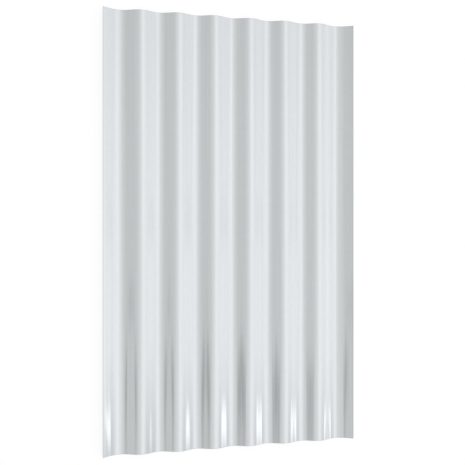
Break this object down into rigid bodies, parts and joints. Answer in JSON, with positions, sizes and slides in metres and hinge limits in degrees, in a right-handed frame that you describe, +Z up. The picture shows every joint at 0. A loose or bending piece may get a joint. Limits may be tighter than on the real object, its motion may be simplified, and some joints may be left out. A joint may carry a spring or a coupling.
{
  "type": "corrugated metal sheet",
  "caption": "Short zinc-coated steel sheet roll-formed into shallow round waves along its length, with straight side lips, for roofing and cladding small sheds.",
  "frame": {"origin": "under the middle of the sheet, level with the undersides of the two outer troughs that it rests on", "axes": "+Y along the waves, +X across them, +Z up out of the face that is seen"},
  "size_m": [0.36, 0.6, 0.0113],
  "materials": {
    "zinc_coated_steel": "satin"
  },
  "bodies": {
    "root": {"corrugated_sheet": "zinc_coated_steel"}
  },
  "joints": []
}
